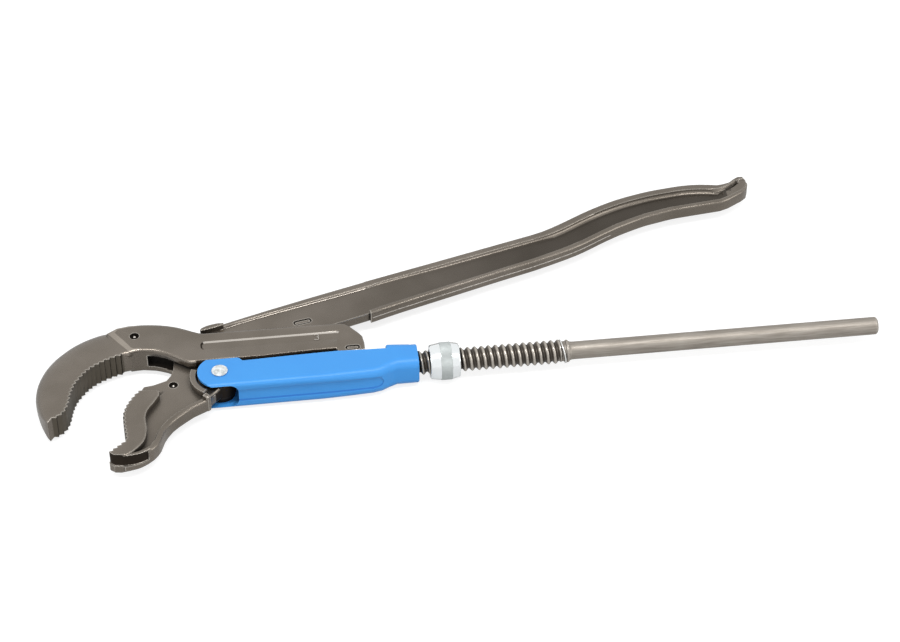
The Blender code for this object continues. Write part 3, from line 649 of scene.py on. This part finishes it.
def oblong_moat(name, x, y, long, wide, degrees, face_z, deep):
    """A long punch mark as a cutter: a moat round a low oblong island."""

    def layers(*levels):
        rings = []
        for grow, z in levels:
            ring = stadium(-long / 2, long / 2, -wide / 2, wide / 2, wide * 0.45, grow, z)
            rings.append(turned_ring(ring, x, y, degrees))
        return rings

    moat = lofted(name, layers((-0.35, face_z - deep), (0.0, face_z - deep * 0.3), (0.4, face_z + deep)))
    island = layers((-0.9, face_z - deep * 2), (-1.25, face_z - deep * 0.25))
    cut(moat, [lofted(name + "_island", island)])
    return moat


def sized_numeral(face_z):
    """The plain raised figure 3 in the panel, as a closed strip along its strokes."""
    left, base, tall, thick, rise = 75.0, 24.3, 6.4, 0.42, 0.75
    upper_bow = (base + tall * 0.74, tall * 0.25, 150.0, -88.0)
    lower_bow = (base + tall * 0.27, tall * 0.27, 88.0, -150.0)
    steps = 12
    line = []
    for middle_y, radius, start, end in (upper_bow, lower_bow):
        for k in range(steps + 1):
            angle = math.radians(start + (end - start) * k / steps)
            x = left + tall * 0.3 + radius * math.cos(angle) * 1.05
            line.append((x, middle_y + radius * math.sin(angle)))
    rings = []
    for i, (x, y) in enumerate(line):
        before, after = Vector(line[max(0, i - 1)]), Vector(line[min(len(line) - 1, i + 1)])
        along = (after - before).normalized()
        side = Vector((-along.y, along.x)) * thick
        rings.append([
            (x - side.x, y - side.y, face_z - 0.3), (x - side.x * 0.5, y - side.y * 0.5, face_z + rise),
            (x + side.x * 0.5, y + side.y * 0.5, face_z + rise), (x + side.x, y + side.y, face_z - 0.3),
        ])
    return lofted("size_numeral", rings)


def hook_without_rod():
    """The hook leg's forging, with its punch marks and panel, cut off where the thread begins."""
    leg = cad_copy("hook_leg", "hook_forging", whole=False)
    work = bmesh.new()
    work.from_mesh(leg.data)
    gone = bmesh.ops.bisect_plane(
        work, geom=[*work.verts, *work.edges, *work.faces], dist=1e-7,
        plane_co=world(ROD_CUT_X, 0, 0), plane_no=(1, 0, 0), clear_outer=True,
    )
    rim = [g for g in gone["geom_cut"] if isinstance(g, bmesh.types.BMEdge)]
    bmesh.ops.contextual_create(work, geom=rim)
    work.to_mesh(leg.data)
    work.free()
    cut(leg, [
        dimple("hook_dimple", HOOK_MARK, BODY_HALF, HOOK_MARK_R, 2.2),
        tray("panel", PANEL_X0, PANEL_X1, PANEL_Y0, PANEL_Y1, 3.8, BODY_HALF, PANEL_DEEP, 1.3),
        oblong_moat("hook_oblong", 104.0, 12.0, 11.0, 5.2, 0.0, BODY_HALF, 1.6),
    ])
    in_moat, on_button = mark_tests(HOOK_MARK, HOOK_MARK_R, BODY_HALF)
    # Painted shade in the slot, under the fork, in tooth gaps, at the panel's left end and in the mark's
    # moat; a darker tooth row; painted highlight on the mark's button, the panel's brow and the ramp.
    mark_faces(
        leg, either(in_painted_shade, on_panel_end), on_tooth_row, in_moat,
        either(on_button, on_panel_brow), on_ramp,
    )
    return leg


def mark_tests(centre, out_r, face_z):
    """Two face tests for a round punch mark: one for its moat, one for the low button in its middle."""

    def off_centre(middle):
        return math.hypot(middle.x - centre[0], middle.y - centre[1])

    def sunk(middle):
        return face_z - 3.0 < middle.z < face_z - 0.1

    def in_moat(middle, normal):
        near = MARK_BUTTON_R <= off_centre(middle) < out_r + 0.2
        return near and sunk(middle) and (abs(normal.z) < 0.999 or middle.z < face_z - 1.0)

    def on_button(middle, normal):
        return off_centre(middle) < MARK_BUTTON_R and sunk(middle)

    return in_moat, on_button


def on_panel_slope(middle):
    return BODY_HALF - PANEL_DEEP - 0.1 < middle.z < BODY_HALF


def on_panel_brow(middle, normal):
    """On the panel's upper slope, with a painted highlight along its whole length."""
    beside = 31.0 < middle.y < 33.0 and -12.0 < middle.x < 95.0
    return beside and on_panel_slope(middle) and normal.y < -0.3


def on_panel_end(middle, normal):
    """On the rounded slope at the panel's left end, which gets painted shade."""
    beside = -14.0 < middle.x < -9.0 and 22.0 < middle.y < 32.0
    return beside and on_panel_slope(middle) and normal.x > 0.25


def on_ramp(middle, normal):
    """On the low ramp where the hook's face rises to the fork's, which gets a painted highlight."""
    return -96.0 < middle.x < -62.0 and 10.3 < middle.z < 11.4 and 0.55 < normal.z < 0.9985


def on_tooth_row(middle, normal):
    """On the toothed inner wall of the hook."""
    return abs(normal.z) < 0.35 and row_direction(middle) is not None


def row_direction(middle):
    """The direction of the tooth row beside this point, or None when it lies off the row."""
    for (ax, ay), (bx, by) in zip(HOOK_TOOTH_LINE, HOOK_TOOTH_LINE[1:]):
        along = Vector((bx - ax, by - ay))
        from_a = Vector((middle.x - ax, middle.y - ay))
        share = from_a.dot(along) / along.length_squared
        if -0.05 <= share <= 1.05 and (from_a - along * share).length < 3.6:
            return along.normalized()
    return None


def faces_up_the_row(middle, normal):
    """On the short steep face of a hook tooth, which gets painted shade."""
    along = row_direction(middle)
    return along is not None and abs(normal.z) < 0.5 and normal.xy.dot(along) > 0.55


def in_painted_shade(middle, normal):
    """In the slot between the cheeks, on the fork's hidden underside, or in a tooth gap, where shade is
    painted black.
    """
    between = abs(middle.z) < SLOT_HALF + 0.1 and -56.0 < middle.x < 112.0 and 8.0 < middle.y < 62.0
    underside = -14.0 < middle.x < 93.0 and 8.0 < middle.y < 13.5 and normal.y < -0.4
    in_slot = between and (abs(normal.z) > 0.9 or normal.x > 0.9)
    return in_slot or underside or faces_up_the_row(middle, normal)


def thread_radius(share):
    """The thread's radius at this share of one pitch: round crest, narrow round root."""
    wave = 0.5 - 0.5 * math.cos(2 * math.pi * share)
    return THREAD_ROOT_R + (THREAD_CREST_R - THREAD_ROOT_R) * wave


def threaded_rod():
    """The thread as one helical skin, right-handed, running out at both ends."""
    around, per_pitch, phase = 56, 12, -0.31
    run_in, run_out = 4.0, 1.2
    first = math.floor((THREAD_X0 - 6.0) / THREAD_PITCH)
    last = math.ceil((THREAD_X1 + 2.0) / THREAD_PITCH) + 2
    start_x = ROD_CUT_X - 2.0
    rows = (last - first) * per_pitch + 1
    points, faces = [], []
    for j in range(around + 1):
        turn = j / around
        for i in range(rows):
            x = (first + i / per_pitch + turn + phase - 1.0) * THREAD_PITCH
            fade_in = min(1.0, max(0.0, (x - THREAD_X0) / run_in))
            fade_out = min(1.0, max(0.0, (THREAD_X1 - x) / run_out))
            proud = (thread_radius(i / per_pitch) - THREAD_ROOT_R) * fade_in * fade_out
            x = min(THREAD_X1, max(start_x, x))
            points.append(round_rod(x, THREAD_ROOT_R + proud, 2 * math.pi * turn))
    for j in range(around):
        for i in range(rows - 1):
            a = j * rows + i
            faces.append([a, a + 1, a + rows + 1, a + rows])
    skin = mesh_object("rod_thread", points, faces)
    work = bmesh.new()
    work.from_mesh(skin.data)
    bmesh.ops.remove_doubles(work, verts=work.verts, dist=4e-6)
    bmesh.ops.dissolve_degenerate(work, edges=work.edges, dist=1e-6)
    bmesh.ops.recalc_face_normals(work, faces=work.faces)
    work.to_mesh(skin.data)
    work.free()
    return skin


def plain_rod():
    """The ring's seat, the neck and the plain round handle with its chamfered, softly dished end."""
    profile = [
        (THREAD_X1 - 3.0, 2.0), (THREAD_X1 - 3.0, RING_SEAT_R - 0.4), (THREAD_X1 - 0.4, RING_SEAT_R),
        (269.6, RING_SEAT_R), (269.8, NECK_R - 0.25), (270.1, NECK_R), (271.4, NECK_R - 0.1),
        (272.6, 7.6), (NECK_X1, 7.12), (NECK_X1 + 2.5, ROD_R), (400.0, ROD_R),
        (ROD_END_X - ROD_END_CHAMFER - 0.2, ROD_R), (ROD_END_X - ROD_END_CHAMFER, ROD_R - 0.12),
        (ROD_END_X - 0.15, ROD_R - ROD_END_CHAMFER + 0.1), (ROD_END_X, ROD_R - ROD_END_CHAMFER - 0.1),
        (ROD_END_X, 2.0), (ROD_END_X - 0.3, 0.05), (THREAD_X1 - 3.0, 0.05),
    ]
    return turned("rod_handle", profile, 96)


# Parts on the rod


def nut_shell():
    """The adjusting nut: two polished tapers and a finely ribbed band between them."""
    sag = 0.105
    profile = [
        (NUT_X0, NUT_BORE_R), (NUT_X0, NUT_END_R - 0.8), (NUT_X0 + 0.15, NUT_END_R - 0.5),
        (NUT_X0 + 0.8, NUT_END_R), (NUT_BAND_X0 - 0.25, NUT_BAND_R - 0.35), (NUT_BAND_X0, NUT_BAND_R - 0.3),
        (NUT_BAND_X1, NUT_BAND_R - 0.3), (NUT_BAND_X1 + 0.25, NUT_BAND_R - 0.35),
        (NUT_X1 - 0.8, NUT_END_R), (NUT_X1 - 0.15, NUT_END_R - 0.5), (NUT_X1, NUT_END_R - 0.8),
        (NUT_X1, NUT_BORE_R), (NUT_X1 - 1.0, NUT_BORE_R - sag), (NUT_X0 + 1.0, NUT_BORE_R - sag),
    ]
    return turned("nut_shell", profile, 128)


def nut_band():
    """The band round the nut, with fine lengthwise ribs."""
    ribs, chamfer, groove = 132, 0.25, 0.14
    count = ribs * 2
    stations = [
        (NUT_BAND_X0 + 0.05, chamfer, chamfer), (NUT_BAND_X0 + 0.4, groove, 0.0),
        (NUT_BAND_X1 - 0.4, groove, 0.0), (NUT_BAND_X1 - 0.05, chamfer, chamfer),
    ]
    points, faces = [], []
    for x, even, odd in stations:
        for k in range(count):
            points.append(round_rod(x, NUT_BAND_R - (odd if k % 2 else even), math.pi * k / ribs))
    for i in range(3):
        faces += ring_faces(i * count, (i + 1) * count, count)
    faces.append(list(range(count)))
    faces.append([3 * count + k for k in range(count)])
    return mesh_object("nut_band", points, faces)


def wire_ring():
    """The stop ring: a round wire, a little tilted on the rod."""
    steps, sides, points, faces = 96, 16, [], []
    for k in range(steps):
        around = 2 * math.pi * k / steps
        for m in range(sides):
            bend = 2 * math.pi * m / sides
            radius = RING_R + RING_WIRE_R * math.cos(bend)
            lean = RING_LEAN * RING_R * (0.66 * math.cos(around) + 0.75 * math.sin(around))
            points.append(round_rod(RING_X - lean + RING_WIRE_R * math.sin(bend), radius, around))
    for k in range(steps):
        faces += ring_faces(k * sides, (k + 1) % steps * sides, sides)
    return mesh_object("wire_ring", points, faces)


# Lower leg


def surface_y(obj, x, z):
    """Where a line along +Y from far outside first meets the piece at this X and Z."""
    start = world(x, -200.0, z)
    found, spot, _, _ = obj.ray_cast(start, Vector((0, 1, 0)))
    return (spot.y - ORIGIN.y) / MM if found else None


def flash_ridge(obj, x0, x1, step, z, wide, tall):
    """The forging's parting line: a thin broken ridge along the lower flange's outer face."""
    rng = np.random.default_rng(7)
    rings, x = [], x0
    while x <= x1:
        y = surface_y(obj, x, z)
        if y is not None:
            end = min(1.0, (x - x0) / 6.0, (x1 - x) / 30.0)
            high = tall * (0.35 + 0.65 * rng.random()) * max(0.05, end)
            half = wide * (0.42 + 0.16 * rng.random())
            off = 0.1 * (rng.random() - 0.5)
            rings.append([
                (x, y + 0.5, z - half + off), (x, y - high * 0.55, z - half * 0.55 + off),
                (x, y - high, z + off), (x, y - high * 0.5, z + half * 0.6 + off),
                (x, y + 0.5, z + half + off),
            ])
        x += step
    return lofted("flash_ridge", rings)


def on_nose_facet(middle, normal):
    """On the trimmed facet round the upper half of the jaw's nose, which gets painted shade."""
    near = min(math.hypot(middle.x - x, middle.y - y) for x, y in NOSE_LINE[:7])
    return near < 4.2 and abs(normal.z) < 0.3 and normal.y < 0.2 and middle.z > -1.6


def tip_hollow():
    """The end of the grip's hollow, running out in the turned-up tip, as a cutter."""
    rings, count = [], len(TIP_MIDDLE_LINE)
    for i, (x, y) in enumerate(TIP_MIDDLE_LINE):
        share = i / (count - 1)
        before, after = TIP_MIDDLE_LINE[max(0, i - 1)], TIP_MIDDLE_LINE[min(count - 1, i + 1)]
        along = Vector((after[0] - before[0], after[1] - before[1])).normalized()
        half, floor = 4.2 - 2.2 * share, 1.9 + 1.6 * share
        ring = []
        for side, z in ((-1.25, 8.0), (-1.0, 5.2), (-0.55, floor), (0.55, floor), (1.0, 5.2), (1.25, 8.0)):
            ring.append((x - along.y * half * side, y + along.x * half * side, z))
        rings.append(ring)
    return lofted("tip_hollow", rings)


def in_web(middle, normal):
    """On the plate and the handle's web, which lie deeper in their own shade towards the grip."""
    return -100.0 < middle.x < 450.0 and 0.0 < middle.z < 4.2 and normal.z > 0.9


def in_channel(middle, normal):
    """Round the hub, where the housing's channel hides the forging in shade, which is painted there."""
    return middle.x > -3.0 and middle.y < -6.0 and abs(middle.z) < 10.4 and normal.y < 0.5


def lower_forging():
    """The lower leg's forging, with its punch marks and the step at the parting line of its nose."""
    leg = cad_copy("lower_leg", "lower_forging")
    cut(leg, [
        prism("nose_trim", NOSE_LINE + NOSE_OUTSIDE, -1.5, 14.0),
        dimple("jaw_dimple", JAW_MARK, PLATE_HALF, JAW_MARK_R, 2.0),
        tip_hollow(),
        oblong_moat("plate_oblong", 68.0, 55.3, 14.6, 5.4, 12.0, PLATE_HALF, 1.5),
    ])
    in_moat, on_button = mark_tests(JAW_MARK, JAW_MARK_R, PLATE_HALF)
    # Painted shade on the nose facet, round the hub and in the mark's moat, painted highlight on its button,
    # and painted shade deepening along the web.
    mark_faces(leg, either(on_nose_facet, in_channel), in_moat, on_button, in_web)
    return leg


def knuckle_lug():
    """The upright lug across the flange's outer face, where the arc round the hub ends."""
    along = Vector((0.72, 0.69))
    out = Vector((along.y, -along.x))
    middle = Vector((-10.6, -27.6))
    levels = [(-5.6, 0.9, 1.4), (-5.0, 1.7, 2.1), (6.2, 1.9, 2.2), (9.0, 1.6, 2.0), (9.6, 0.9, 1.4)]
    rings = []
    for z, proud, half in levels:
        ring = []
        for side, reach in ((-1, -3.0), (-1, 0.4), (-0.55, 1.0), (0.55, 1.0), (1, 0.4), (1, -3.0)):
            depth = proud * reach if reach > 0 else reach
            spot = middle + along * half * side + out * depth
            ring.append((spot.x, spot.y, z))
        rings.append(ring)
    return lofted("knuckle_lug", rings)


def on_groove_wall(middle, normal):
    """On the sloping wall of the hollow pressed into the housing's web, which gets painted shade."""
    return 12.0 < middle.x < 126.0 and middle.y < -15.0 and abs(middle.z) < 6.6 and abs(normal.z) > 0.25


# The wrench

finished(
    hook_without_rod(), "hook", leg_steel, ["hook_leg"], 30.0,
    [painted_shade_black, tooth_shade_steel, painted_shade_black, bare_and_highlight_steel, ramp_highlight_steel],
)
# The raised figure is lighter: bare steel with a painted highlight.
finished(sized_numeral(BODY_HALF - 0.9), "hook", bare_and_highlight_steel)
finished(threaded_rod(), "hook", thread_steel, crease=60.0)
finished(plain_rod(), "hook", rod_steel, crease=30.0)
finished(wire_ring(), "hook", ring_wire, ["stop_ring"])
lower = lower_forging()
# The flash ridge is lighter: bare steel with a painted highlight.
finished(flash_ridge(lower, 124.0, 330.0, 1.2, 0.3, 1.1, 0.42), "lower_jaw", bare_and_highlight_steel)
finished(
    lower, "lower_jaw", leg_steel, ["lower_leg"], 30.0,
    [painted_shade_black, painted_shade_black, bare_and_highlight_steel, shaded_steel],
)
finished(knuckle_lug(), "lower_jaw", leg_steel)
housing = cad_copy("slide_housing", "pressed_housing")
mark_faces(housing, on_groove_wall)
finished(housing, "slider", blue_coat, ["slide_housing"], 40.0, [blue_painted_shade])
finished(cad_copy("pivot_rivet", "rivet"), "slider", rivet_zinc, ["pivot_rivet"], 40.0)
finished(nut_shell(), "nut", nut_bright, ["adjusting_nut"], 25.0)
finished(nut_band(), "nut", nut_matte, crease=20.0)


# Studio


def seen_share(tree, glossy):
    """1 for rays from the camera or through glass, this share for mirrored ones, 0 for the others."""
    path = tree.nodes.new("ShaderNodeLightPath")
    direct = math_node(tree, "MAXIMUM", path.outputs["Is Camera Ray"], path.outputs["Is Transmission Ray"])
    mirrored = math_node(tree, "MULTIPLY", path.outputs["Is Glossy Ray"], glossy)
    return math_node(tree, "MAXIMUM", direct, mirrored)


def studio_world():
    """A pale studio: white to the camera and in metal; its soft light dims from the horizon upwards."""
    made = bpy.data.worlds.new("studio")
    made.use_nodes = True
    tree = made.node_tree
    background = tree.nodes["Background"]
    way = tree.nodes.new("ShaderNodeTexCoord").outputs["Generated"]
    dome = mapped(tree, axis_of(tree, way, "Z"), 0.0, 0.75, 0.82, 0.55)
    light = tree.nodes.new("ShaderNodeMix")
    light.data_type = "FLOAT"
    tree.links.new(seen_share(tree, 1.0), light.inputs[0])
    tree.links.new(dome, light.inputs[2])
    light.inputs[3].default_value = 1.0
    tree.links.new(light.outputs[0], background.inputs["Strength"])
    background.inputs["Color"].default_value = (1.0, 1.0, 1.0, 1.0)
    bpy.context.scene.world = made


def bench():
    """The pale floor the wrench lies on; it looks white to the camera and keeps the shadow."""
    size = 6.0
    mesh = bpy.data.meshes.new("bench")
    z = world(0, 0, BENCH_Z).z - 0.0002
    corners = [(-size, -size, z), (size, -size, z), (size, size, z), (-size, size, z)]
    mesh.from_pydata(corners, [], [[0, 1, 2, 3]])
    floor = new_object("bench", mesh)
    material = bpy.data.materials.new("bench_white")
    material.use_nodes = True
    tree = material.node_tree
    shader = tree.nodes["Principled BSDF"]
    shader.inputs["Base Color"].default_value = (0.36, 0.36, 0.36, 1.0)
    shader.inputs["Roughness"].default_value = 1.0
    shader.inputs["Specular IOR Level"].default_value = 0.0
    shader.inputs["Emission Color"].default_value = (1.0, 1.0, 1.0, 1.0)
    glow = math_node(tree, "MULTIPLY", seen_share(tree, 0.48), 0.78)
    tree.links.new(glow, shader.inputs["Emission Strength"])
    mesh.materials.append(material)


def softbox(name, place_mm, aim_mm, wide, tall, watts, colour=(1.0, 1.0, 1.0)):
    """A rectangular lamp, wide by tall metres, at one point of the wrench's frame, aimed at another."""
    data = bpy.data.lights.new(name, "AREA")
    data.shape = "RECTANGLE"
    data.size, data.size_y = wide, tall
    data.energy = watts
    data.color = colour
    made = bpy.data.objects.new(name, data)
    bpy.context.scene.collection.objects.link(made)
    made.location = world(*place_mm)
    aim = world(*aim_mm) - made.location
    made.rotation_euler = aim.to_track_quat("-Z", "Y").to_euler()
    return made


def camera():
    """The photograph's view of the wrench."""
    data = bpy.data.cameras.new("camera")
    data.lens = CAMERA_LENS
    data.sensor_width = CAMERA_SENSOR
    data.clip_end = 20.0
    made = bpy.data.objects.new("camera", data)
    bpy.context.scene.collection.objects.link(made)
    made.location = world(*CAMERA_AT)
    made.rotation_euler = (math.radians(90.0 - CAMERA_ELEVATION), 0.0, math.radians(-CAMERA_AZIMUTH))
    bpy.context.scene.camera = made


studio_world()
bench()
softbox("overhead", (120.0, -330.0, 1250.0), (150.0, 60.0, 0.0), 1.5, 0.24, 12.0)
front = softbox("front", (150.0, -1300.0, 330.0), (120.0, 0.0, 0.0), 1.6, 0.35, 3.8)
front.visible_glossy = False  # The polished nut and rod show no second highlight.
softbox("left_side", (-1300.0, -100.0, 420.0), (-60.0, 0.0, 0.0), 0.6, 0.5, 2.2, (0.86, 0.94, 1.0))
softbox("right_side", (1250.0, -350.0, 420.0), (0.0, 0.0, 0.0), 0.5, 0.7, 3.0)
camera()
bpy.context.scene.view_settings.view_transform = "Standard"
